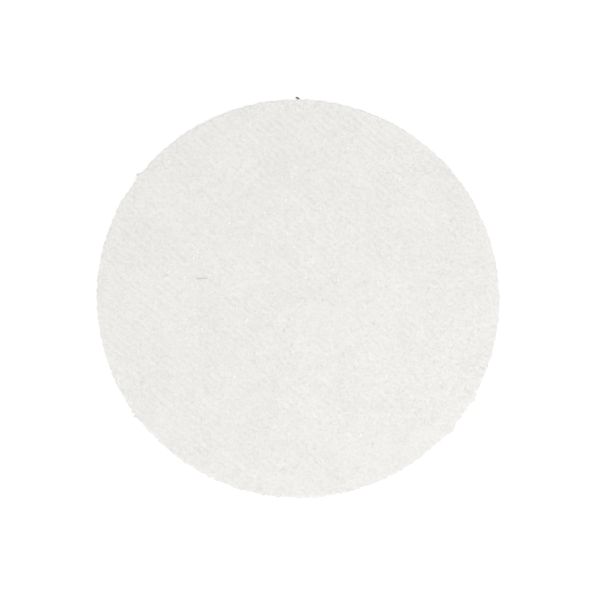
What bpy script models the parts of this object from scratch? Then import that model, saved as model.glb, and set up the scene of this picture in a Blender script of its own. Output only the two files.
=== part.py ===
"""Felt polishing wheel: a peel-and-stick needled felt disc for a flat lap.

The wheel lies on its back with the working face up. From the bottom up it is a
release liner in two halves, a double-coated film tape, and a felt that is needled
from both sides through a woven scrim. Every layer is its own solid.

Units are metres and +Z is up. The origin is the centre of the underside.
"""

import math

import bpy
from mathutils import Vector

# ---- Driving dimensions -------------------------------------------------------

WHEEL_DIAMETER = 0.1524  # a 6 in wheel
WHEEL_RADIUS = WHEEL_DIAMETER / 2

LINER_THICKNESS = 0.00020
ADHESIVE_THICKNESS = 0.00012  # each coat of the tape
FILM_THICKNESS = 0.00010
BACK_FELT_THICKNESS = 0.00130
SCRIM_THICKNESS = 0.00025
FACE_FELT_THICKNESS = 0.00135
LAYER_GAP = 0.00005  # bonded layers stay this far apart, so that no two solids touch

BACKING_INSET = 0.0008  # felt springs out past the tape and liner once it is die cut
BACKING_RADIUS = WHEEL_RADIUS - BACKING_INSET
SCRIM_INSET = 0.0004  # the cut ends of the threads draw back into the felt
SCRIM_RADIUS = WHEEL_RADIUS - SCRIM_INSET
FACE_RIM_ROUND = 0.0004  # soft upper edge of the felt
RIM_ROUND_SEGMENTS = 3

LINER_SLIT = 0.0004  # width of the cut across the middle of the liner
PEEL_AXIS_CLEARANCE = 0.0003  # from the liner's rim out to the line it folds about
PEEL_AXIS_HEIGHT = LINER_THICKNESS / 2

RIM_SEGMENTS = 144
SHARP_ANGLE = math.radians(30)

# ---- Colours (linear) and surfaces --------------------------------------------

FELT_WHITE = (0.83, 0.82, 0.79)
THREAD_WHITE = (0.78, 0.77, 0.73)
ADHESIVE_AMBER = (0.80, 0.77, 0.66)
FILM_CLEAR_GREY = (0.76, 0.78, 0.79)
LINER_PAPER = (0.74, 0.70, 0.60)


def clear_scene():
    for item in list(bpy.data.objects):
        bpy.data.objects.remove(item, do_unlink=True)


def make_collection(name):
    collection = bpy.data.collections.new(name)
    bpy.context.scene.collection.children.link(collection)
    return collection


def move_to(item, collection):
    for owner in list(item.users_collection):
        owner.objects.unlink(item)
    collection.objects.link(item)


def make_material(name, colour, roughness):
    material = bpy.data.materials.new(name)
    material.use_nodes = True
    shader = material.node_tree.nodes["Principled BSDF"]
    shader.inputs["Base Color"].default_value = (*colour, 1.0)
    shader.inputs["Roughness"].default_value = roughness
    shader.inputs["Metallic"].default_value = 0.0
    return material


def make_disc(name, radius, bottom, thickness, material, collection):
    """A flat round layer centred on the Z axis, with its underside at bottom."""
    bpy.ops.mesh.primitive_cylinder_add(
        vertices=RIM_SEGMENTS,
        radius=radius,
        depth=thickness,
        location=(0.0, 0.0, bottom + thickness / 2),
    )
    disc = bpy.context.object
    disc.name = name
    disc.data.name = name
    disc.data.materials.append(material)
    disc.data.shade_smooth()
    disc.data.set_sharp_from_angle(angle=SHARP_ANGLE)
    move_to(disc, collection)
    return disc


def round_top_rim(disc, width):
    """Round the edge between the disc's upper face and its side."""
    top = max(vertex.co.z for vertex in disc.data.vertices)
    rim = [vertex.index for vertex in disc.data.vertices if math.isclose(vertex.co.z, top)]
    group = disc.vertex_groups.new(name="top_rim")
    group.add(rim, 1.0, "REPLACE")
    bevel = disc.modifiers.new("rounded_top_rim", "BEVEL")
    bevel.limit_method = "VGROUP"
    bevel.vertex_group = group.name
    bevel.width = width
    bevel.segments = RIM_ROUND_SEGMENTS


def make_half_cutter(name, side, collection):
    """A box that removes everything short of one edge of the liner's slit."""
    reach = BACKING_RADIUS + LINER_SLIT
    width = reach + LINER_SLIT / 2
    middle = side * (LINER_SLIT - width) / 2
    bpy.ops.mesh.primitive_cube_add(size=1.0, location=(middle, 0.0, 0.0))
    cutter = bpy.context.object
    cutter.name = name
    cutter.scale = (width, 2 * reach, 4 * LINER_THICKNESS)
    cutter.hide_render = True
    cutter.display_type = "WIRE"
    move_to(cutter, collection)
    return cutter


def make_liner_half(name, side, material, parts, cutters):
    """Half of the release liner, on an empty that lies on its fold line.

    side is +1 for the half towards +X and -1 for the other. The fold line runs
    along Y, just outside the liner's rim, so the half swings down from the slit
    and out until it lies upside down beside the wheel.
    """
    axis_point = Vector((side * (BACKING_RADIUS + PEEL_AXIS_CLEARANCE), 0.0, PEEL_AXIS_HEIGHT))
    fold_line = bpy.data.objects.new(name + "_fold_line", None)
    fold_line.location = axis_point
    parts.objects.link(fold_line)

    half = make_disc(name, BACKING_RADIUS, 0.0, LINER_THICKNESS, material, parts)
    cut = half.modifiers.new("slit", "BOOLEAN")
    cut.operation = "DIFFERENCE"
    cut.solver = "EXACT"
    cut.object = make_half_cutter(name + "_cutter", side, cutters)

    half.parent = fold_line
    half.location -= axis_point


def make_bonded_layers(parts):
    """The tape and the felt, stacked upwards from the liner."""
    felt = make_material("felt", FELT_WHITE, 0.95)
    thread = make_material("scrim_thread", THREAD_WHITE, 0.85)
    adhesive = make_material("adhesive", ADHESIVE_AMBER, 0.30)
    film = make_material("carrier_film", FILM_CLEAR_GREY, 0.15)
    layers = (
        ("lap_side_adhesive", BACKING_RADIUS, ADHESIVE_THICKNESS, adhesive),
        ("carrier_film", BACKING_RADIUS, FILM_THICKNESS, film),
        ("felt_side_adhesive", BACKING_RADIUS, ADHESIVE_THICKNESS, adhesive),
        ("felt_back_layer", WHEEL_RADIUS, BACK_FELT_THICKNESS, felt),
        ("scrim", SCRIM_RADIUS, SCRIM_THICKNESS, thread),
        ("felt_face_layer", WHEEL_RADIUS, FACE_FELT_THICKNESS, felt),
    )
    bottom = LINER_THICKNESS + LAYER_GAP
    for name, radius, thickness, material in layers:
        disc = make_disc(name, radius, bottom, thickness, material, parts)
        bottom += thickness + LAYER_GAP
    round_top_rim(disc, FACE_RIM_ROUND)


def main():
    clear_scene()
    parts = make_collection("felt_polishing_wheel")
    cutters = make_collection("cutters")
    liner_paper = make_material("liner_paper", LINER_PAPER, 0.55)
    make_liner_half("release_liner_right", 1, liner_paper, parts, cutters)
    make_liner_half("release_liner_left", -1, liner_paper, parts, cutters)
    make_bonded_layers(parts)


main()
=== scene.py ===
"""The looks of the felt polishing wheel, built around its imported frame.

The felt, the scrim inside it and the release liner are modelled here in place of
their plain solids. The two coats of adhesive and the film between them keep their
shapes and get materials. Lengths are metres and angles are radians, unless a name
or a comment says otherwise.
"""

import math

import bmesh
import bpy
import numpy as np
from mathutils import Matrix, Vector


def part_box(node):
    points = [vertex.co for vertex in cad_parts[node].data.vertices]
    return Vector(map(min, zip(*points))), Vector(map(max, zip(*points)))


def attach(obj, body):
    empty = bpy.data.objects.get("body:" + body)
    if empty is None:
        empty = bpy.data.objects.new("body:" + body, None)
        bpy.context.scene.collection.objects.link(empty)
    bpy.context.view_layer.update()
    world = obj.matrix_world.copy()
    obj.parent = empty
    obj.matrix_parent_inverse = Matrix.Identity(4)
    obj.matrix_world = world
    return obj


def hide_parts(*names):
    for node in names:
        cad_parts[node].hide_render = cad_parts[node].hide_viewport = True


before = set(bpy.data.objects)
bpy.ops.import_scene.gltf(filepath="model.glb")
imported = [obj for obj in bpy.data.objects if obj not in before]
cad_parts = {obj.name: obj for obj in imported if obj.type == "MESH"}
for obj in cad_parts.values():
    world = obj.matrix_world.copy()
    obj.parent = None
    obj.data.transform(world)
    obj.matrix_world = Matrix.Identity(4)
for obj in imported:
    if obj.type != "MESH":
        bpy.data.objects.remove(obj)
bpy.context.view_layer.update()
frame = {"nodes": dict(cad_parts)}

MM = 0.001
TURN = 2.0 * math.pi

# ---- Places that come from the frame ------------------------------------------

FACE_LOW, FACE_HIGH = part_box("felt_face_layer")
BACK_LOW, BACK_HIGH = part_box("felt_back_layer")
SCRIM_LOW, SCRIM_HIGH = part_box("scrim")
LINER_LOW, LINER_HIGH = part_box("release_liner_right")
WHEEL_RADIUS = (FACE_HIGH.x - FACE_LOW.x) / 2
SCRIM_RADIUS = (SCRIM_HIGH.x - SCRIM_LOW.x) / 2
LINER_RADIUS = LINER_HIGH.y
SLIT_EDGE = LINER_LOW.x
SEAM_Z = (SCRIM_LOW.z + SCRIM_HIGH.z) / 2

# ---- The felt's outline ---------------------------------------------------------

OUT_OF_ROUND = 0.0061  # the disc relaxes to a slightly long shape along one diameter
LONG_AXIS = math.radians(-16.6)
# Unevenness of the cut: how many waves go round the rim, and their root mean square reach.
RIM_WAVER = (
    (range(4, 16), 0.056 * MM),
    (range(16, 61), 0.066 * MM),
    (range(61, 151), 0.104 * MM),
    (range(151, 361), 0.114 * MM),
)
CLEAN_CUT = math.radians(60.0)  # the middle of the stretch of rim that the die cut best
CLEAN_HALF_LENGTH = math.radians(65.0)
CLEAN_SHARE = 0.5  # how much less the cut wavers there
# Where the die left felt standing out: the angle and half width in degrees, how far the
# felt itself bulges, and how far its fibres reach beyond that.
TORN_TUFTS = (
    (-30.2, 1.0, 1.25 * MM, 0.5 * MM),
    (-40.4, 1.4, 0.85 * MM, 0.5 * MM),
    (-85.1, 0.6, 0.38 * MM, 1.0 * MM),
    (-106.8, 0.6, 0.34 * MM, 0.9 * MM),
    (-144.2, 0.3, 0.15 * MM, 1.7 * MM),
    (-145.6, 0.3, 0.15 * MM, 1.4 * MM),
    (142.3, 0.6, 0.57 * MM, 1.5 * MM),
    (90.0, 0.6, 0.27 * MM, 0.7 * MM),
)
TUFT_FIBRES = 34

# ---- The felt's surface ---------------------------------------------------------

RIB_PITCH = 2.40 * MM
RIB_DIRECTION = math.radians(-40.0)  # the way the ribs run across the face
RIB_HEIGHT = 0.046 * MM
RIB_WANDER = ((38 * MM, 0.9 * MM), (6.5 * MM, 0.28 * MM))  # size across and reach of each
RIB_PATCHES = (3.4 * MM, 0.7)  # size across of strong and weak patches, and their share
STRONG_SIDE = math.radians(135.0)  # the way across the face in which the ribs, and the painted shade between them, grow stronger
STRONG_SHARE = 0.35  # how much higher than the mean they are at the rim on that side
STITCH_PITCH = 1.35 * MM  # from one needle row to the next along the ribs
STITCH_DIRECTION = math.radians(-53.4)
STITCH_HEIGHT = 0.011 * MM
STITCH_PATCHES = (5.0 * MM, 0.9)  # as for the ribs
LUMPS = (  # size across and height of the felt's uneven thickness
    (34.0 * MM, 0.060 * MM),
    (9.0 * MM, 0.030 * MM),
    (3.1 * MM, 0.016 * MM),
    (1.05 * MM, 0.039 * MM),
)
FACE_CELLS = 290  # mesh cells across the face
PIT_SPACING = 1.3 * MM  # the needles leave a pit at some of the places this far apart
PIT_RARITY = 0.88  # how strong the noise has to be, of 1, to open a pit there
PIT_DEPTH = 0.10 * MM
PAINTED_SHADE_ATTRIBUTE = "relief"  # the mesh's record of its ribs and pits, which paints shade into the felt's colour in the rib valleys and pits, and light on the rib crests
RIB_PAINTED_SHADE = 0.054  # painted light added to the felt's tone at the crest of a mean rib, and painted shade taken off in its valley
PIT_PAINTED_SHADE = 0.62  # painted shade taken off it at the bottom of a pit of full depth
RIM_ROUND = 0.20 * MM
RIM_BENDS = 3  # rings of points round that edge, between the face and the side
RIM_ROUGHNESS = 0.10 * MM
SOFT_ROUGHNESS = RIM_ROUGHNESS / 2  # where the side turns into the face or the back
RIM_GRAIN = ((1.1 * MM, 1.0), (0.45 * MM, 0.7))  # size across and weight of each roughness
FACE_SIDE_LEVELS = 5
BACK_SIDE_LEVELS = 6
BACK_CHAMFER = (0.12 * MM, 0.1 * MM)  # how far in and how far up the lower edge is worn
LIP_DEPTH = 0.75 * MM  # how far the felt closes over the ends of the scrim
SEAM_GAP = 0.01 * MM
LIP_CORNER = math.radians(60.0)  # edges that turn by more than this are shaded sharp
ON_BORDER = 1.0 - 1e-9  # points whose share of the radius is above this are on the border

# ---- Loose fibre ----------------------------------------------------------------

FIBRE_RADIUS = 0.021 * MM
FIBRE_PIECES = 5
FIBRES_IN_PIECE = 5000
FIBRE_STEPS = 6
FIBRE_STRIDE_MM = (0.25, 0.75)
FIBRE_BEND = 0.32  # spread of a fibre's turn at each step, in radians
FIBRE_BEND_KEPT = 0.6  # share of the last turn that goes on into the next
FIBRE_LIFT_MM = 0.035  # how high the middle of a fibre arches, on average
FIBRE_LIFT_MOST_MM = 0.20
FIBRE_TUCK = 0.02 * MM  # how far the ends go under the surface
FIBRE_CLEARANCE = 0.01 * MM
FIBRE_OVERHANG = 0.15 * MM  # fibres that reach further past the rim are left out
FIBRE_SPREAD = (0.7, 1.3)  # radius of the thinnest and the thickest, as shares
FIBRE_END = 0.45  # radius at a strand's ends, as a share of its middle
RIM_FIBRES = 6500
RIM_FIBRE_STEPS = 4
RIM_FIBRE_SPREAD = (0.6, 1.1)
RIM_FIBRE_ROOT = 0.08 * MM  # how far inside the cut edge they start
RIM_FIBRE_CURL = 1.9  # radians of the arc that each follows outwards and partly back
RIM_FIBRE_TOP = 0.1 * MM  # how far below the face the highest of them starts
RIM_FIBRE_MARGIN = 0.1 * MM  # how far above and below the felt they may reach
RIM_FIBRE_OUT_MM = 0.20  # how far one stands out, on average
RIM_FIBRE_OUT_MOST_MM = 1.0
RIM_FIBRE_RUN = 0.5  # spread along the rim: in mm, or at a tuft as a share of its reach
RIM_FIBRE_RISE_MM = 0.22  # spread up and down
TUFT_SCATTER = 0.5  # spread of a tuft's fibres, as a share of its half width
TUFT_SHORTEST = 0.3  # its shortest fibre, as a share of its reach
TUFT_RISE_MM = 0.3
KNOTS = 132  # those that are strewn over the face
KNOT_NESTS = (  # where more of them lie together: X and Y in mm, and how many
    (-44.0, 14.0, 8),
    (-38.0, 18.0, 8),
    (-41.0, 44.0, 6),
    (-34.0, 31.0, 4),
    (-17.0, -6.0, 5),
    (-8.0, 72.5, 7),
    (20.0, -38.0, 5),
    (34.0, 51.0, 4),
    (39.0, 44.5, 5),
    (19.0, 60.0, 4),
)
NEST_SIZE = 1.8 * MM
KNOT_SIZE = (0.16 * MM, 0.42 * MM)  # radius of the smallest and the largest
KNOT_LOOPS = 8
KNOT_LOOP_STEPS = 8
KNOT_FLATNESS = 0.55  # height as a share of width
KNOT_STANDING = 0.3  # how far the middle is above the felt, as a share of its radius
KNOT_FIBRE_RADIUS = 0.028 * MM
KNOT_LUMPS = (0.75, 1.15)  # radius at its hollows and at its lumps, as shares
KNOT_STRETCH = (0.7, 1.2)  # how it is squeezed or drawn out along X and along Y
KNOT_LOOP_TURNS = (0.6, 0.95)  # how much of a full turn a loop makes
KNOT_LOOP_SIZES = (0.8, 1.3)  # a loop's radius, as a share of its knot's
KNOT_LOOP_WAVER = 0.12  # likewise
KNOT_LEAN = (0.3, 0.5, 0.8)  # crossed with a loop's axis, it gives the loop's plane
KNOTS_CENTRE_MM = (-12.0, 4.0)
KNOTS_SPREAD_MM = (38.0, 36.0)
KNOTS_REACH = 0.96  # share of the wheel's radius

# A stray hair or fleck: its middle, its direction in radians, its length and its radius.
GREY_HAIR = ((-36.75 * MM, 7.7 * MM), 0.04, 4.2 * MM, 0.11 * MM)
DARK_FLECK = ((-0.25 * MM, 76.5 * MM), -0.35, 1.5 * MM, 0.36 * MM)
HAIR_POINTS = 9
HAIR_HEIGHT = 0.15 * MM
HAIR_SAG = 0.02  # how far it bows sideways, as a share of its length

NOISE_CELLS = 512
TINY = 1e-12  # keeps a strand of no length from dividing by zero
TUBE_LEAN = (0.31, 0.22, 0.93)  # no strand runs this way, so it can orient their sides

# ---- Scrim and liner ------------------------------------------------------------

THREAD_RADIUS = 0.055 * MM
THREAD_CRIMP = 0.06 * MM
PAPER_THICKNESS = 0.17 * MM
LINER_CELLS = 80
LINER_WAVE = 14.0 * MM  # size across of the paper's slight waves

# ---- Seeds ----------------------------------------------------------------------

RIB_WANDER_SEED = 2  # and the next
RIB_PATCH_SEED = 4
STITCH_PATCH_SEED = 5
PIT_SEED = 6
WAVER_SEED = 11  # and the next three
LUMP_SEED = 20  # and the next three
RIM_SEED = 31  # and the next; both layers share them, so that their cut edges meet
LINER_SEED = 51
FACE_FIBRE_SEED = 100  # plus the number of the piece
RIM_FIBRE_SEED = 200
KNOT_SEED = 300

# ---- Colours (linear), light and camera -----------------------------------------

FELT_SHADE = (0.659, 0.650, 0.629)
FELT_LIGHT = (0.787, 0.778, 0.758)
FELT_TONES = (0.45, 0.93)  # the tones that come out as that shade and that light
FELT_CLOUD = (22 * MM, 0.30)  # size across, and weight in the tone, where the mottle has 1
FELT_STREAKS = (0.28 * MM, 0.18)  # likewise
FELT_STREAK_STRETCH = 9.0
FELT_STREAK_WAYS = (5, 0.3)  # how many directions, and the first of them in radians
PAPER_FLECK_WAYS = (3, 0.2)  # likewise
FELT_MOTTLE = 0.85 * MM
FELT_BUMP = 0.075 * MM
MOTTLE_IN_BUMP = 2.5  # weight of the mottle in the bump, where the streaks have 1
FIBRE_WHITES = ((0.90, 0.89, 0.865), (0.97, 0.965, 0.945))
KNOT_WHITES = ((0.96, 0.96, 0.955), (0.985, 0.985, 0.98))
RIM_FIBRE_WHITES = ((0.80, 0.79, 0.77), (0.90, 0.89, 0.87))
THREAD_WHITES = ((0.74, 0.72, 0.67), (0.80, 0.79, 0.74))
FLECK_DARKS = ((0.06, 0.057, 0.05), (0.13, 0.125, 0.11))
HAIR_GREYS = ((0.36, 0.35, 0.33), (0.46, 0.45, 0.42))
ADHESIVE_AMBERS = ((0.72, 0.68, 0.56), (0.80, 0.77, 0.66))
FILM_GREYS = ((0.72, 0.74, 0.75), (0.78, 0.80, 0.81))
PAPER_BUFFS = ((0.70, 0.65, 0.54), (0.78, 0.74, 0.64))
ROOM_LIGHT = 0.50
# Each softbox: azimuth and elevation in degrees, distance, width and power in watts.
KEY_LIGHT = (-50.0, 55.0, 1.1, 0.6, 5.2)
OVERHEAD_LIGHT = (-100.0, 80.0, 2.2, 2.2, 23.0)
BACKDROP_SEEN = 1.1  # how brightly the camera sees the world behind the floor
FLOOR_WIDTH = 8.0
FLOOR_BOUNCE = (0.94, 0.94, 0.94)  # what the floor throws back at the wheel
FLOOR_SEEN = (0.06, 0.06, 0.06)  # what of that the camera sees, besides the glow
FLOOR_GLOW = (0.95, 1.00)  # near the disc, and far from it
FLOOR_GLOW_REACH = (0.10, 0.60)
FRAME_WIDTH = 226.7 * MM  # how much of the plane of the face the camera takes in
CAMERA_SHIFT = (-0.24 * MM, 0.49 * MM)
LENS_MM = 100.0
CAMERA_CLIP = (0.01, 20.0)


# ---- Noise ----------------------------------------------------------------------


def ease(t):
    return t * t * t * (t * (6.0 * t - 15.0) + 10.0)


def smooth_noise(x, y, size, seed):
    """Noise from -1 to 1 at points x, y, with bumps about size across."""
    lattice = np.random.default_rng(seed).uniform(-1.0, 1.0, (NOISE_CELLS, NOISE_CELLS))
    slant = 0.5 + seed  # each seed turns its lattice its own way
    u = (x * math.cos(slant) + y * math.sin(slant)) / size
    v = (y * math.cos(slant) - x * math.sin(slant)) / size
    i = np.floor(u).astype(int)
    j = np.floor(v).astype(int)
    a = ease(u - i)
    b = ease(v - j)
    i0, i1 = i % NOISE_CELLS, (i + 1) % NOISE_CELLS
    j0, j1 = j % NOISE_CELLS, (j + 1) % NOISE_CELLS
    near = lattice[i0, j0] * (1 - a) + lattice[i1, j0] * a
    far = lattice[i0, j1] * (1 - a) + lattice[i1, j1] * a
    return near * (1 - b) + far * b


def rim_noise(angle, waves, seed):
    """Noise of unit strength round the rim, which meets itself after a full turn."""
    rng = np.random.default_rng(seed)
    total = np.zeros_like(angle)
    for count in waves:
        total += np.cos(count * angle + rng.uniform(0.0, TURN))
    return total * math.sqrt(2.0 / len(waves))


# ---- The felt's shape -----------------------------------------------------------


def turn_from(angle, middle):
    """How far round each angle is from a middle, half a turn at the most either way."""
    return np.angle(np.exp(1j * (angle - middle)))


def outline_radius(angle):
    """The felt's radius at an angle about its axis."""
    radius = WHEEL_RADIUS * (1.0 + OUT_OF_ROUND * np.cos(2.0 * (angle - LONG_AXIS)))
    clean = np.exp(-((turn_from(angle, CLEAN_CUT) / CLEAN_HALF_LENGTH) ** 4))
    for seed, (waves, reach) in enumerate(RIM_WAVER, start=WAVER_SEED):
        radius = radius + (1.0 - CLEAN_SHARE * clean) * reach * rim_noise(angle, waves, seed)
    for middle, half_width, bulge, _ in TORN_TUFTS:
        away = turn_from(angle, math.radians(middle)) / math.radians(half_width)
        radius = radius + bulge * np.exp(-(away**2))
    return radius


def wave(x, y, direction, pitch, drift):
    """A cosine of the distance from the origin in one direction."""
    distance = x * math.cos(direction) + y * math.sin(direction) + drift
    return np.cos(TURN * distance / pitch)


def needled_relief(x, y):
    """Height of the ribs that the needles leave along the scrim's threads, and of their stitches."""
    drift = 0.0
    for seed, (size, reach) in enumerate(RIB_WANDER, start=RIB_WANDER_SEED):
        drift = drift + reach * smooth_noise(x, y, size, seed)
    towards = (x * math.cos(STRONG_SIDE) + y * math.sin(STRONG_SIDE)) / WHEEL_RADIUS
    size, share = RIB_PATCHES
    patchy = 1.0 + share * smooth_noise(x, y, size, RIB_PATCH_SEED)
    strength = (1.0 + STRONG_SHARE * towards) * patchy
    height = RIB_HEIGHT * strength * wave(x, y, RIB_DIRECTION + TURN / 4, RIB_PITCH, drift)
    size, share = STITCH_PATCHES
    patchy = 1.0 + share * smooth_noise(x, y, size, STITCH_PATCH_SEED)
    height += STITCH_HEIGHT * patchy * wave(x, y, STITCH_DIRECTION, STITCH_PITCH, drift / 2)
    return height


def needle_pits(x, y):
    """How far each point is down a pit: 0 on the open face, up to 1 at a deep pit's bottom."""
    noise = smooth_noise(x, y, PIT_SPACING, PIT_SEED)
    return np.maximum(noise - PIT_RARITY, 0.0) / (1.0 - PIT_RARITY)


def felt_height(x, y):
    """How far the working face stands above its mean level."""
    height = needled_relief(x, y) - PIT_DEPTH * needle_pits(x, y)
    for seed, (size, strength) in enumerate(LUMPS, start=LUMP_SEED):
        height = height + strength * smooth_noise(x, y, size, seed)
    return height


def square_to_disc(u, v):
    """Bends points of a square, -1 to 1 each way, into a disc. Returns radius and angle."""
    wide = np.abs(u) >= np.abs(v)
    safe_u = np.where(u == 0.0, 1.0, u)
    safe_v = np.where(v == 0.0, 1.0, v)
    sideways = TURN / 8 * v / safe_u + np.where(u < 0.0, TURN / 2, 0.0)
    upwards = TURN / 4 - TURN / 8 * u / safe_v + np.where(v < 0.0, TURN / 2, 0.0)
    return np.maximum(np.abs(u), np.abs(v)), np.where(wide, sideways, upwards)


def grid_faces(index):
    """Quads between the neighbours of a two-dimensional array of vertex numbers."""
    corners = (index[:-1, :-1], index[1:, :-1], index[1:, 1:], index[:-1, 1:])
    return np.stack(corners, axis=-1).reshape(-1, 4)


def ring_faces(upper, lower):
    """Quads between two closed rings, both anticlockwise seen from above."""
    corners = (upper, lower, np.roll(lower, -1), np.roll(upper, -1))
    return np.stack(corners, axis=-1)


def rim_rings(angle, profile, seed):
    """Rings of points that follow the outline, one for each (inset, height, roughness)."""
    rings = []
    around = angle * WHEEL_RADIUS
    radius = outline_radius(angle)
    for inset, height, roughness in profile:
        level = np.full_like(angle, height)
        rough = np.zeros_like(angle)
        for step, (size, share) in enumerate(RIM_GRAIN):
            rough += share * smooth_noise(around, level, size, seed + step)
        reach = radius - inset + roughness * rough
        rings.append(np.stack((reach * np.cos(angle), reach * np.sin(angle), level), axis=1))
    return rings


def mesh_object(name, points, faces, material):
    """An object of its own mesh, smooth shaded, in the scene."""
    mesh = bpy.data.meshes.new(name)
    mesh.from_pydata(points.tolist(), [], faces)
    mesh.shade_smooth()
    mesh.materials.append(material)
    item = bpy.data.objects.new(name, mesh)
    bpy.context.scene.collection.objects.link(item)
    return item


def make_felt_face(material):
    """The upper felt layer: ribbed working face, soft rim, and a lip over the scrim."""
    side = np.linspace(-1.0, 1.0, FACE_CELLS + 1)
    share, angle = square_to_disc(*np.meshgrid(side, side, indexing="ij"))
    reach = share * (outline_radius(angle) - RIM_ROUND)
    x = reach * np.cos(angle)
    y = reach * np.sin(angle)
    z = FACE_HIGH.z + felt_height(x, y)
    points = [np.stack((x, y, z), axis=-1).reshape(-1, 3)]
    index = np.arange(x.size).reshape(x.shape)
    faces = grid_faces(index).tolist()

    border = np.flatnonzero(share.reshape(-1) > ON_BORDER)
    border = border[np.argsort(angle.reshape(-1)[border] % TURN)]
    rim_angle = angle.reshape(-1)[border] % TURN
    shoulder = FACE_HIGH.z - RIM_ROUND
    profile = []
    for step in range(1, RIM_BENDS + 1):
        bend = step * TURN / 4 / (RIM_BENDS + 1)
        inset = RIM_ROUND * (1.0 - math.sin(bend))
        profile.append((inset, shoulder + RIM_ROUND * math.cos(bend), SOFT_ROUGHNESS))
    for height in np.linspace(shoulder, SEAM_Z + SEAM_GAP / 2, FACE_SIDE_LEVELS):
        profile.append((0.0, height, RIM_ROUGHNESS))
    profile.append((LIP_DEPTH, SEAM_Z + SEAM_GAP / 2, 0.0))
    profile.append((LIP_DEPTH, FACE_LOW.z, 0.0))
    rings = rim_rings(rim_angle, profile, RIM_SEED)
    settle = felt_height(x.reshape(-1)[border], y.reshape(-1)[border])
    for step, ring in enumerate(rings[:RIM_BENDS], start=1):
        ring[:, 2] += settle * (1.0 - step / (RIM_BENDS + 1))

    upper = border
    count = x.size
    for ring in rings:
        points.append(ring)
        lower = np.arange(count, count + len(ring))
        faces += ring_faces(upper, lower).tolist()
        upper = lower
        count += len(ring)
    faces.append(upper[::-1].tolist())
    face = mesh_object("felt_face", np.concatenate(points), faces, material)
    face.data.set_sharp_from_angle(angle=LIP_CORNER)
    # Painted shade in the rib valleys and the pits, and painted light on the rib crests, kept at the
    # points for the felt's colour.
    relief = np.zeros(count)
    tone = RIB_PAINTED_SHADE * needled_relief(x, y) / RIB_HEIGHT - PIT_PAINTED_SHADE * needle_pits(x, y)
    relief[: x.size] = tone.reshape(-1)
    face.data.attributes.new(PAINTED_SHADE_ATTRIBUTE, "FLOAT", "POINT").data.foreach_set("value", relief)
    return face


def make_felt_back(material):
    """The lower felt layer, whose lip meets the upper one's at the seam."""
    angle = np.linspace(0.0, TURN, 4 * FACE_CELLS, endpoint=False)
    profile = [
        (LIP_DEPTH, BACK_HIGH.z, 0.0),
        (LIP_DEPTH, SEAM_Z - SEAM_GAP / 2, 0.0),
    ]
    worn_in, worn_up = BACK_CHAMFER
    for height in np.linspace(SEAM_Z - SEAM_GAP / 2, BACK_LOW.z + worn_up, BACK_SIDE_LEVELS):
        profile.append((0.0, height, RIM_ROUGHNESS))
    profile.append((worn_in, BACK_LOW.z, SOFT_ROUGHNESS))
    rings = rim_rings(angle, profile, RIM_SEED)
    faces = [list(range(len(angle)))]
    for step in range(len(rings) - 1):
        upper = np.arange(len(angle)) + step * len(angle)
        faces += ring_faces(upper, upper + len(angle)).tolist()
    faces.append([len(angle) * len(rings) - 1 - k for k in range(len(angle))])
    back = mesh_object("felt_back", np.concatenate(rings), faces, material)
    back.data.set_sharp_from_angle(angle=LIP_CORNER)
    return back


# ---- Strands --------------------------------------------------------------------


def tubes(paths, radius, sides=3):
    """Points and faces of closed tubes, one along each path of an n by k by 3 array."""
    along = np.gradient(paths, axis=1)
    along /= np.linalg.norm(along, axis=2, keepdims=True) + TINY
    across = np.cross(along, TUBE_LEAN)
    across /= np.linalg.norm(across, axis=2, keepdims=True) + TINY
    over = np.cross(across, along)
    radius = np.broadcast_to(radius, paths.shape[:2])[..., None]
    corners = []
    for side in range(sides):
        turn = TURN * side / sides
        corners.append(paths + radius * (math.cos(turn) * across + math.sin(turn) * over))
    points = np.stack(corners, axis=2)
    index = np.arange(points.size // 3).reshape(points.shape[:3])
    faces = []
    for side in range(sides):
        here, following = index[:, :, side], index[:, :, (side + 1) % sides]
        quads = (here[:, :-1], here[:, 1:], following[:, 1:], following[:, :-1])
        faces += np.stack(quads, axis=-1).reshape(-1, 4).tolist()
    faces += index[:, 0, :].tolist()
    faces += index[:, -1, ::-1].tolist()
    return points.reshape(-1, 3), faces


def strands(name, paths, radius, material, sides=3):
    """One object of many tubes."""
    points, faces = tubes(paths, radius, sides)
    return mesh_object(name, points, faces, material)


def taper(count):
    """Radius factors along a strand of so many points: full in the middle, thin at the ends."""
    t = np.linspace(0.0, 1.0, count)
    return FIBRE_END + (1.0 - FIBRE_END) * np.sin(t * TURN / 2) ** 0.5


def walk(rng, start, heading, steps, stride, bend):
    """Flat paths that wander from their starts, each turning at random as it goes."""
    paths = np.zeros((len(start), steps + 1, 2))
    paths[:, 0] = start
    turning = rng.normal(0.0, bend, len(start))
    for step in range(steps):
        turning = FIBRE_BEND_KEPT * turning + rng.normal(0.0, bend, len(start))
        heading = heading + turning
        move = np.stack((np.cos(heading), np.sin(heading)), axis=1)
        paths[:, step + 1] = paths[:, step] + stride[:, None] * move
    return paths


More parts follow.
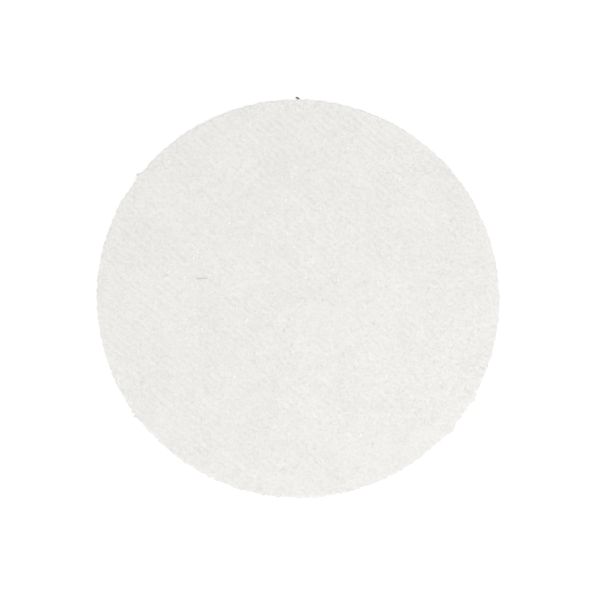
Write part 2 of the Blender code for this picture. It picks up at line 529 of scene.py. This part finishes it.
def make_face_fibres(number, material):
    """Loose fibres matted over the working face, their ends tucked under."""
    rng = np.random.default_rng(FACE_FIBRE_SEED + number)
    reach = WHEEL_RADIUS * np.sqrt(rng.uniform(0.0, 1.0, FIBRES_IN_PIECE))
    around = rng.uniform(0.0, TURN, FIBRES_IN_PIECE)
    start = np.stack((reach * np.cos(around), reach * np.sin(around)), axis=1)
    heading = rng.uniform(0.0, TURN, FIBRES_IN_PIECE)
    stride = rng.uniform(*FIBRE_STRIDE_MM, FIBRES_IN_PIECE) * MM
    flat = walk(rng, start, heading, FIBRE_STEPS, stride, FIBRE_BEND)
    angle = np.arctan2(flat[..., 1], flat[..., 0])
    over_edge = np.hypot(flat[..., 0], flat[..., 1]) - outline_radius(angle)
    flat = flat[over_edge.max(axis=1) < FIBRE_OVERHANG]
    lift = np.minimum(rng.exponential(FIBRE_LIFT_MM, len(flat)), FIBRE_LIFT_MOST_MM) * MM
    t = np.linspace(0.0, 1.0, FIBRE_STEPS + 1)
    arch = lift[:, None] * np.sin(t * TURN / 2) - FIBRE_TUCK * np.abs(2.0 * t - 1.0) ** 3
    x, y = flat[..., 0], flat[..., 1]
    inset = outline_radius(np.arctan2(y, x)) - np.hypot(x, y)
    drop = RIM_ROUND * np.clip(1.0 - inset / RIM_ROUND, 0.0, 1.0) ** 2
    z = FACE_HIGH.z + felt_height(x, y) + arch + FIBRE_CLEARANCE - drop
    full = FIBRE_RADIUS * rng.uniform(*FIBRE_SPREAD, (len(flat), 1))
    radius = full * taper(FIBRE_STEPS + 1)
    return strands(f"face_fibres_{number}", np.stack((x, y, z), axis=-1), radius, material)


def rim_paths(angle, out, run, rise, height):
    """Paths that leave the cut edge and bend over, one for each value of the arrays."""
    t = np.linspace(0.0, 1.0, RIM_FIBRE_STEPS + 1)
    bent = np.sin(t * RIM_FIBRE_CURL)
    radius = outline_radius(angle)[:, None] - RIM_FIBRE_ROOT + out[:, None] * bent
    turned = angle[:, None] + (run[:, None] / WHEEL_RADIUS) * t
    z = height[:, None] + rise[:, None] * t**1.5
    z = np.clip(z, BACK_LOW.z - RIM_FIBRE_MARGIN, FACE_HIGH.z + RIM_FIBRE_MARGIN)
    return np.stack((radius * np.cos(turned), radius * np.sin(turned), z), axis=-1)


def make_rim_fibres(material):
    """Short fibres that stand out from the cut edge, longer and denser at the torn tufts."""
    rng = np.random.default_rng(RIM_FIBRE_SEED)
    low, high = BACK_LOW.z, FACE_HIGH.z - RIM_FIBRE_TOP
    edge = rim_paths(
        angle=rng.uniform(0.0, TURN, RIM_FIBRES),
        out=np.minimum(rng.exponential(RIM_FIBRE_OUT_MM, RIM_FIBRES), RIM_FIBRE_OUT_MOST_MM) * MM,
        run=rng.normal(0.0, RIM_FIBRE_RUN, RIM_FIBRES) * MM,
        rise=rng.normal(0.0, RIM_FIBRE_RISE_MM, RIM_FIBRES) * MM,
        height=rng.uniform(low, high, RIM_FIBRES),
    )
    paths = [edge]
    for middle, half_width, _, length in TORN_TUFTS:
        tuft = rim_paths(
            angle=np.radians(middle + TUFT_SCATTER * half_width * rng.normal(0.0, 1.0, TUFT_FIBRES)),
            out=length * rng.uniform(TUFT_SHORTEST, 1.0, TUFT_FIBRES),
            run=rng.normal(0.0, RIM_FIBRE_RUN, TUFT_FIBRES) * length,
            rise=rng.normal(0.0, TUFT_RISE_MM, TUFT_FIBRES) * MM,
            height=rng.uniform(low, high, TUFT_FIBRES),
        )
        paths.append(tuft)
    paths = np.concatenate(paths)
    full = FIBRE_RADIUS * rng.uniform(*RIM_FIBRE_SPREAD, (len(paths), 1))
    return strands("rim_fibres", paths, full * taper(RIM_FIBRE_STEPS + 1), material)


def knot_core(rng, size):
    """Points and triangles of a lumpy flattened blob, centred on the origin."""
    ball = bmesh.new()
    bmesh.ops.create_icosphere(ball, subdivisions=2, radius=1.0)
    points = np.array([vertex.co for vertex in ball.verts])
    faces = [[vertex.index for vertex in face.verts] for face in ball.faces]
    ball.free()
    points *= size * rng.uniform(*KNOT_LUMPS, (len(points), 1))
    points[:, :2] *= rng.uniform(*KNOT_STRETCH, 2)
    points[:, 2] *= KNOT_FLATNESS
    return points, faces


def knot_loops(rng, size):
    """Loops of fibre wound about the origin."""
    loops = []
    for _ in range(KNOT_LOOPS):
        axis = rng.normal(0.0, 1.0, 3)
        axis /= np.linalg.norm(axis)
        first = np.cross(axis, KNOT_LEAN)
        first /= np.linalg.norm(first)
        second = np.cross(axis, first)
        last = rng.uniform(*KNOT_LOOP_TURNS) * TURN
        turn = np.linspace(0.0, last, KNOT_LOOP_STEPS + 1)[:, None]
        reach = size * rng.uniform(*KNOT_LOOP_SIZES)
        loop = reach * (np.cos(turn) * first + np.sin(turn) * second)
        loop += rng.normal(0.0, KNOT_LOOP_WAVER, loop.shape) * size
        loop[:, 2] *= KNOT_FLATNESS
        loops.append(loop)
    return np.array(loops)


def make_knots(material):
    """Small tight tangles of fibre, strewn over the face and nested in a few places."""
    rng = np.random.default_rng(KNOT_SEED)
    chosen = rng.normal(KNOTS_CENTRE_MM, KNOTS_SPREAD_MM, (KNOTS * 2, 2)) * MM
    on_face = np.hypot(chosen[:, 0], chosen[:, 1]) < WHEEL_RADIUS * KNOTS_REACH
    chosen = chosen[on_face][:KNOTS]
    for x, y, number in KNOT_NESTS:
        nest = np.array((x, y)) * MM + rng.normal(0.0, NEST_SIZE, (number, 2))
        chosen = np.concatenate((chosen, nest))
    points, faces, count = [], [], 0
    for x, y in chosen:
        size = rng.uniform(*KNOT_SIZE)
        centre = (x, y, FACE_HIGH.z + float(felt_height(x, y)) + KNOT_STANDING * size)
        loops = knot_loops(rng, size)
        wound = tubes(loops, KNOT_FIBRE_RADIUS * taper(loops.shape[1]))
        for part_points, part_faces in (knot_core(rng, size), wound):
            points.append(part_points + centre)
            faces += [[corner + count for corner in face] for face in part_faces]
            count += len(part_points)
    return mesh_object("fibre_knots", np.concatenate(points), faces, material)


def make_stray_hair(name, place, direction, length, radius, material):
    """One coarse hair or fleck caught in the felt."""
    t = np.linspace(-0.5, 0.5, HAIR_POINTS)
    x = place[0] + length * t * math.cos(direction)
    y = place[1] + length * t * math.sin(direction) + HAIR_SAG * length * np.cos(t * TURN)
    z = FACE_HIGH.z + felt_height(x, y) + HAIR_HEIGHT
    path = np.stack((x, y, z), axis=-1)[None]
    return strands(name, path, radius * taper(len(t)), material, sides=6)


def make_scrim(material):
    """A plain weave inside the felt, with one set of threads along the ribs."""
    points, faces, count = [], [], 0
    for direction, pitch, crossing, over in (
        (RIB_DIRECTION, RIB_PITCH, STITCH_PITCH, 1.0),
        (RIB_DIRECTION + TURN / 4, STITCH_PITCH, RIB_PITCH, -1.0),
    ):
        forward = np.array((math.cos(direction), math.sin(direction)))
        sideways = np.array((-forward[1], forward[0]))
        rows = int(SCRIM_RADIUS / pitch)
        for row in range(-rows, rows + 1):
            half = math.sqrt(SCRIM_RADIUS**2 - (row * pitch) ** 2) - LIP_DEPTH
            crossings = int(half / crossing) if half > 0.0 else 0
            if crossings < 2:
                continue
            number = np.arange(-crossings, crossings + 1)
            flat = np.outer(number * crossing, forward) + row * pitch * sideways
            lift = over * THREAD_CRIMP * np.where((number + row) % 2, -1.0, 1.0)
            path = np.column_stack((flat, SEAM_Z + lift))[None]
            thread_points, thread_faces = tubes(path, THREAD_RADIUS, sides=4)
            points.append(thread_points)
            faces += [[corner + count for corner in face] for face in thread_faces]
            count += len(thread_points)
    return mesh_object("scrim_weave", np.concatenate(points), faces, material)


# ---- Release liner --------------------------------------------------------------


def make_liner_half(name, side, material):
    """Half of the paper liner, lying flat, cut straight along the slit."""
    across = np.linspace(0.0, 1.0, LINER_CELLS // 2 + 1)
    along = np.linspace(-1.0, 1.0, LINER_CELLS + 1)
    share, angle = square_to_disc(*np.meshgrid(across, along, indexing="ij"))
    room = (LINER_RADIUS - SLIT_EDGE) / LINER_RADIUS
    x = side * (SLIT_EDGE + share * LINER_RADIUS * room * np.cos(angle))
    y = share * LINER_RADIUS * np.sin(angle)
    slack = LINER_HIGH.z - LINER_LOW.z - PAPER_THICKNESS
    z = LINER_LOW.z + slack * (0.5 + 0.5 * smooth_noise(x, y, LINER_WAVE, LINER_SEED))
    index = np.arange(x.size).reshape(x.shape)
    faces = grid_faces(index if side > 0 else index[:, ::-1]).tolist()
    points = np.stack((x, y, z), axis=-1).reshape(-1, 3)
    half = mesh_object(name, points, faces, material)
    solid = half.modifiers.new("paper", "SOLIDIFY")
    solid.thickness = PAPER_THICKNESS
    solid.offset = 1.0
    return half


# ---- Materials ------------------------------------------------------------------


class Look:
    """A material in the making: one Principled shader and the nodes that feed it."""

    def __init__(self, name, roughness):
        self.material = bpy.data.materials.new(name)
        self.material.use_nodes = True
        self.nodes = self.material.node_tree.nodes
        self.links = self.material.node_tree.links
        self.shader = self.nodes["Principled BSDF"]
        self.shader.inputs["Roughness"].default_value = roughness
        self.place = self.nodes.new("ShaderNodeTexCoord").outputs["Object"]

    def set(self, **values):
        """Plain values for the shader's own sockets; an underscore stands for a space."""
        for socket, value in values.items():
            self.shader.inputs[socket.replace("_", " ")].default_value = value
        return self

    def turned(self, direction, stretch):
        """Coordinates turned about Z and squeezed along the new X, for streaks along it."""
        mapping = self.nodes.new("ShaderNodeMapping")
        mapping.vector_type = "TEXTURE"
        mapping.inputs["Rotation"].default_value = (0.0, 0.0, direction)
        mapping.inputs["Scale"].default_value = (stretch, 1.0, 1.0)
        self.links.new(self.place, mapping.inputs["Vector"])
        return mapping.outputs["Vector"]

    def noise(self, size, detail=3.0, roughness=0.5, place=None):
        """Noise from 0 to 1 whose bumps are about size across."""
        node = self.nodes.new("ShaderNodeTexNoise")
        node.inputs["Scale"].default_value = 1.0 / size
        node.inputs["Detail"].default_value = detail
        node.inputs["Roughness"].default_value = roughness
        self.links.new(place or self.place, node.inputs["Vector"])
        return node.outputs["Fac"]

    def attribute(self, name):
        """A value that the mesh holds at its points, or 0 on a mesh without it."""
        node = self.nodes.new("ShaderNodeAttribute")
        node.attribute_name = name
        return node.outputs["Fac"]

    def math(self, operation, first, second=None, third=None):
        node = self.nodes.new("ShaderNodeMath")
        node.operation = operation
        for socket, value in zip(node.inputs, (first, second, third)):
            if value is None:
                continue
            if isinstance(value, (int, float)):
                socket.default_value = value
            else:
                self.links.new(value, socket)
        return node.outputs["Value"]

    def strand_field(self, size, stretch, directions):
        """Fine crossing streaks like matted fibre: the highest of several turned ridges."""
        highest = None
        for direction in directions:
            grain = self.noise(size, 2.0, 0.5, self.turned(direction, stretch))
            centred = self.math("ABSOLUTE", self.math("SUBTRACT", grain, 0.5))
            ridge = self.math("MULTIPLY_ADD", centred, -6.0, 1.0)
            highest = ridge if highest is None else self.math("MAXIMUM", highest, ridge)
        return self.math("MAXIMUM", highest, 0.0)

    def spread(self, value, low, high):
        """Brings a value from low..high to 0..1."""
        node = self.nodes.new("ShaderNodeMapRange")
        node.inputs["From Min"].default_value = low
        node.inputs["From Max"].default_value = high
        self.links.new(value, node.inputs["Value"])
        return node.outputs["Result"]

    def colour(self, share, dark, light):
        """Base colour between two linear colours."""
        mix = self.nodes.new("ShaderNodeMix")
        mix.data_type = "RGBA"
        self.links.new(share, mix.inputs["Factor"])
        mix.inputs["A"].default_value = (*dark, 1.0)
        mix.inputs["B"].default_value = (*light, 1.0)
        self.links.new(mix.outputs["Result"], self.shader.inputs["Base Color"])
        return self

    def rough(self, share, low, high):
        value = self.math("MULTIPLY_ADD", share, high - low, low)
        self.links.new(value, self.shader.inputs["Roughness"])
        return self

    def bump(self, height, distance):
        node = self.nodes.new("ShaderNodeBump")
        node.inputs["Distance"].default_value = distance
        node.inputs["Strength"].default_value = 1.0
        self.links.new(height, node.inputs["Height"])
        self.links.new(node.outputs["Normal"], self.shader.inputs["Normal"])
        return self


def fan(count, first):
    """Directions spread evenly over half a turn."""
    return [k * TURN / (2 * count) + first for k in range(count)]


def felt_look(name, dark, light):
    """Matted white fibre: cloudy tone, crossing streaks, painted rib and pit shade, and a soft
    sheen.
    """
    look = Look(name, 0.9).set(Sheen_Weight=0.20, Sheen_Roughness=0.45)
    cloud_size, cloud_share = FELT_CLOUD
    streak_size, streak_share = FELT_STREAKS
    directions = fan(*FELT_STREAK_WAYS)
    cloud = look.noise(cloud_size, 4.0, 0.6)
    mottle = look.noise(FELT_MOTTLE, 3.0, 0.55)
    streaks = look.strand_field(streak_size, FELT_STREAK_STRETCH, directions)
    tone = look.math("MULTIPLY_ADD", cloud, cloud_share, mottle)
    tone = look.math("MULTIPLY_ADD", streaks, streak_share, tone)
    # Painted shade in the rib valleys and the pits, and painted light on the rib crests.
    tone = look.math("ADD", look.attribute(PAINTED_SHADE_ATTRIBUTE), tone)
    look.colour(look.spread(tone, *FELT_TONES), dark, light)
    look.rough(mottle, 0.82, 0.98)
    relief = look.math("MULTIPLY_ADD", mottle, MOTTLE_IN_BUMP, streaks)
    return look.bump(relief, FELT_BUMP).material


def fibre_look(name, dark, light):
    """Single strands, whose shade varies along their length."""
    look = Look(name, 0.6).set(Sheen_Weight=0.15, Sheen_Roughness=0.4)
    look.colour(look.spread(look.noise(2.5 * MM, 2.0), 0.35, 0.65), dark, light)
    return look.rough(look.noise(0.8 * MM), 0.5, 0.75).material


def adhesive_look():
    """A thin coat of pale tacky adhesive with faint coating streaks."""
    look = Look("adhesive", 0.3).set(Coat_Weight=0.3, Coat_Roughness=0.25)
    streaks = look.noise(1.5 * MM, 3.0, 0.6, look.turned(TURN / 4, 30.0))
    blotches = look.noise(9 * MM, 4.0, 0.6)
    look.colour(look.spread(blotches, 0.3, 0.7), *ADHESIVE_AMBERS)
    look.rough(streaks, 0.22, 0.42)
    return look.bump(streaks, 0.02 * MM).material


def film_look():
    """Pale grey polyester film, made opaque, since adhesive covers both its sides."""
    look = Look("carrier_film", 0.15).set(Coat_Weight=0.4, Coat_Roughness=0.1)
    haze = look.noise(6 * MM, 3.0, 0.5)
    look.colour(look.spread(haze, 0.3, 0.7), *FILM_GREYS)
    return look.rough(haze, 0.10, 0.22).material


def liner_look():
    """Calendered kraft paper, with fine fibre flecks under its release coat."""
    look = Look("liner_paper", 0.5).set(Coat_Weight=0.15, Coat_Roughness=0.35)
    cloud = look.noise(7 * MM, 5.0, 0.65)
    flecks = look.strand_field(0.5 * MM, 7.0, fan(*PAPER_FLECK_WAYS))
    tone = look.math("MULTIPLY_ADD", flecks, -0.22, cloud)
    look.colour(look.spread(tone, 0.20, 0.70), *PAPER_BUFFS)
    look.rough(cloud, 0.42, 0.60)
    return look.bump(flecks, 0.01 * MM).material


def floor_look():
    """A white sweep that lights the wheel as white paper does.

    The camera sees it glow instead, evenly white to the horizon and next to shadowless,
    except under the wheel, where the glow stops and the floor stays dark as a painted contact
    shadow.
    """
    look = Look("floor", 0.9).set(Emission_Color=(1.0, 1.0, 1.0, 1.0))
    length = look.nodes.new("ShaderNodeVectorMath")
    length.operation = "LENGTH"
    look.links.new(look.place, length.inputs[0])
    distance = length.outputs["Value"]
    outwards = look.spread(distance, *FLOOR_GLOW_REACH)
    glow = look.math("MULTIPLY_ADD", outwards, FLOOR_GLOW[1] - FLOOR_GLOW[0], FLOOR_GLOW[0])
    # No glow under the wheel, so the floor there stays dark: a painted contact shadow.
    glow = look.math("MULTIPLY", glow, look.math("GREATER_THAN", distance, LINER_RADIUS))
    seen = look.nodes.new("ShaderNodeLightPath").outputs["Is Camera Ray"]
    look.links.new(look.math("MULTIPLY", glow, seen), look.shader.inputs["Emission Strength"])
    return look.colour(seen, FLOOR_BOUNCE, FLOOR_SEEN).material


# ---- Stage ----------------------------------------------------------------------


def make_floor():
    bpy.ops.mesh.primitive_plane_add(size=FLOOR_WIDTH, location=(0.0, 0.0, 0.0))
    floor = bpy.context.object
    floor.name = "floor"
    floor.data.materials.append(floor_look())


def make_softbox(name, azimuth_deg, elevation_deg, distance, size, power):
    """A square area light that faces the object from so far round and up."""
    lamp = bpy.data.lights.new(name, "AREA")
    lamp.shape = "SQUARE"
    lamp.size = size
    lamp.energy = power
    item = bpy.data.objects.new(name, lamp)
    azimuth, elevation = math.radians(azimuth_deg), math.radians(elevation_deg)
    ray = Vector(
        (
            math.cos(azimuth) * math.cos(elevation),
            math.sin(azimuth) * math.cos(elevation),
            math.sin(elevation),
        )
    )
    item.location = ray * distance
    item.rotation_euler = ray.to_track_quat("Z", "Y").to_euler()
    bpy.context.scene.collection.objects.link(item)


def make_world():
    """White behind everything, and a gentler even light from all round."""
    world = bpy.data.worlds.new("studio")
    world.use_nodes = True
    nodes, links = world.node_tree.nodes, world.node_tree.links
    background = nodes["Background"]
    background.inputs["Color"].default_value = (1.0, 1.0, 1.0, 1.0)
    seen = nodes.new("ShaderNodeLightPath").outputs["Is Camera Ray"]
    strength = nodes.new("ShaderNodeMapRange")
    strength.inputs["To Min"].default_value = ROOM_LIGHT
    strength.inputs["To Max"].default_value = BACKDROP_SEEN
    links.new(seen, strength.inputs["Value"])
    links.new(strength.outputs["Result"], background.inputs["Strength"])
    bpy.context.scene.world = world


def make_camera():
    """Straight above the face, with the disc just off the middle of the frame."""
    lens = bpy.data.cameras.new("camera")
    lens.lens = LENS_MM
    lens.clip_start, lens.clip_end = CAMERA_CLIP
    camera = bpy.data.objects.new("camera", lens)
    height = FRAME_WIDTH * lens.lens / lens.sensor_width
    camera.location = (CAMERA_SHIFT[0], CAMERA_SHIFT[1], FACE_HIGH.z + height)
    bpy.context.scene.collection.objects.link(camera)
    bpy.context.scene.camera = camera


def make_stage():
    make_floor()
    make_world()
    make_softbox("key", *KEY_LIGHT)
    make_softbox("overhead", *OVERHEAD_LIGHT)
    make_camera()
    settings = bpy.context.scene.view_settings
    settings.view_transform = "Standard"
    settings.look = "None"


# ---- The object -----------------------------------------------------------------


def ride_with_slot(piece, body):
    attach(piece, body)


def make_wheel():
    felt = felt_look("felt", FELT_SHADE, FELT_LIGHT)
    fibre = fibre_look("felt_fibre", *FIBRE_WHITES)
    knot = fibre_look("knot_fibre", *KNOT_WHITES)
    rim_fibre = fibre_look("rim_fibre", *RIM_FIBRE_WHITES)
    thread = fibre_look("scrim_thread", *THREAD_WHITES)
    dark = fibre_look("dark_fleck", *FLECK_DARKS)
    grey = fibre_look("stray_grey_hair", *HAIR_GREYS)

    face = make_felt_face(felt)
    back = make_felt_back(felt)
    scrim = make_scrim(thread)
    on_face = [make_face_fibres(number, fibre) for number in range(1, FIBRE_PIECES + 1)]
    on_face.append(make_rim_fibres(rim_fibre))
    on_face.append(make_knots(knot))
    on_face.append(make_stray_hair("grey_hair", *GREY_HAIR, grey))
    on_face.append(make_stray_hair("dark_fleck", *DARK_FLECK, dark))

    for piece in (face, back, *on_face):
        ride_with_slot(piece, "felt_wheel")
    ride_with_slot(scrim, "felt_wheel")
    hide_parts("felt_face_layer")
    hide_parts("felt_back_layer")
    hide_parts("scrim")

    nodes = frame["nodes"]
    adhesive = adhesive_look()
    for name in ("lap_side_adhesive", "felt_side_adhesive"):
        nodes[name].material_slots[0].material = adhesive
    nodes["carrier_film"].material_slots[0].material = film_look()


def make_liner():
    paper = liner_look()
    for side, hand in ((1, "right"), (-1, "left")):
        half = make_liner_half(f"liner_{hand}", side, paper)
        ride_with_slot(half, f"liner_half_{hand}")
        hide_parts(f"release_liner_{hand}")


make_stage()
make_wheel()
make_liner()
